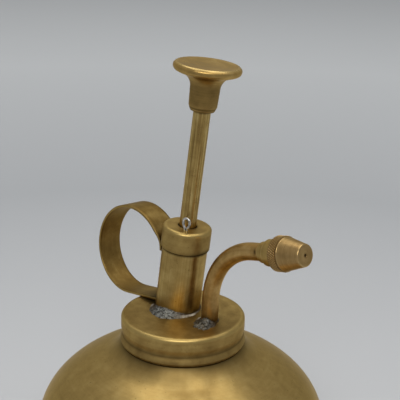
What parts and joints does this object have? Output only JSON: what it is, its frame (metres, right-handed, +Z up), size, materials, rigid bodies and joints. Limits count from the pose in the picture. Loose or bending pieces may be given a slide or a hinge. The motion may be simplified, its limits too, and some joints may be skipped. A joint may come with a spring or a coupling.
{
  "type": "plant mister",
  "caption": "Squat round brass reservoir with a screw lid that carries a leaning thumb plunger pump, a strap finger loop and a bent spray pipe with a screw nozzle.",
  "frame": {"origin": "centre of the flat bottom, on the table", "axes": "+Z up, +X the way the nozzle sprays, with the finger loop on the -X side"},
  "size_m": [0.1117, 0.1112, 0.1689],
  "materials": {
    "spun_brass": "satin, aged to olive gold",
    "drawn_brass": "satin with fine streaks along the tube",
    "turned_brass": "satin with fine turning lines",
    "strap_brass": "satin, browned by the soldering heat",
    "steel": "bright wire and balls",
    "rubber": "matte black",
    "felt": "oiled grey felt",
    "cup_leather": "oiled brown leather",
    "fibre": "red vulcanised fibre",
    "solder": "dull grey, rough"
  },
  "bodies": {
    "reservoir": {"reservoir_upper": "spun_brass", "reservoir_lower": "spun_brass", "seam_ring": "spun_brass", "neck_collar": "spun_brass"},
    "lid_seal": {"lid_gasket": "rubber"},
    "pump_head": {"lid": "spun_brass", "pump_barrel": "drawn_brass", "gland_cap": "drawn_brass", "gland_packing": "felt", "rod_guide": "turned_brass", "split_pin": "steel", "finger_loop": "strap_brass", "spray_pipe": "drawn_brass", "nozzle_stem": "turned_brass", "nozzle_washer": "fibre", "foot_valve_body": "turned_brass", "ball_pin": "turned_brass", "suction_tube": "drawn_brass", "inlet_strainer": "drawn_brass", "cross_tube": "drawn_brass", "outlet_valve_body": "turned_brass", "return_spring": "steel", "barrel_solder": "solder", "pipe_solder": "solder", "loop_solder": "solder"},
    "plunger": {"thumb_knob": "turned_brass", "plunger_rod": "drawn_brass", "piston_stud": "turned_brass", "piston_backing": "turned_brass", "piston_cup": "cup_leather", "piston_spreader": "turned_brass", "piston_nut": "turned_brass"},
    "inlet_ball": {"inlet_ball": "steel"},
    "outlet_ball": {"outlet_ball": "steel"},
    "swirl": {"swirl_core": "turned_brass"},
    "nozzle": {"nozzle_cap": "turned_brass"}
  },
  "joints": [
    {"name": "lid_lift", "type": "slide", "parent": "reservoir", "child": "lid_seal", "axis": [0, 0, 1], "range_m": [0, 0.0045]},
    {"name": "lid_turn", "type": "hinge", "parent": "lid_seal", "child": "pump_head", "pos_m": [0, 0, 0.07178], "axis": [0, 0, 1], "range_deg": [0, 540]},
    {"name": "plunger_slide", "type": "slide", "parent": "pump_head", "child": "plunger", "axis": [-0.0975, -0.0469, -0.9941], "range_m": [0, 0.038], "stiffness_N_per_m": 60, "springref_m": -0.025, "deforming": ["return_spring"]},
    {"name": "inlet_ball_lift", "type": "slide", "parent": "pump_head", "child": "inlet_ball", "axis": [0.0975, 0.0469, 0.9941], "range_m": [0, 0.0015]},
    {"name": "outlet_ball_lift", "type": "slide", "parent": "pump_head", "child": "outlet_ball", "axis": [0.0975, 0.0469, 0.9941], "range_m": [0, 0.0015]},
    {"name": "nozzle_advance", "type": "slide", "parent": "pump_head", "child": "swirl", "axis": [0.9744, 0, 0.225], "range_m": [0, 0.0015]},
    {"name": "nozzle_turn", "type": "hinge", "parent": "swirl", "child": "nozzle", "pos_m": [0.03672, 0.0032, 0.10728], "axis": [0.9744, 0, 0.225], "range_deg": [0, 540]}
  ],
  "couplings": [
    {"joint": "lid_turn", "follows": "lid_lift", "rad_per_m": 2094.4},
    {"joint": "nozzle_turn", "follows": "nozzle_advance", "rad_per_m": 6283.2}
  ]
}
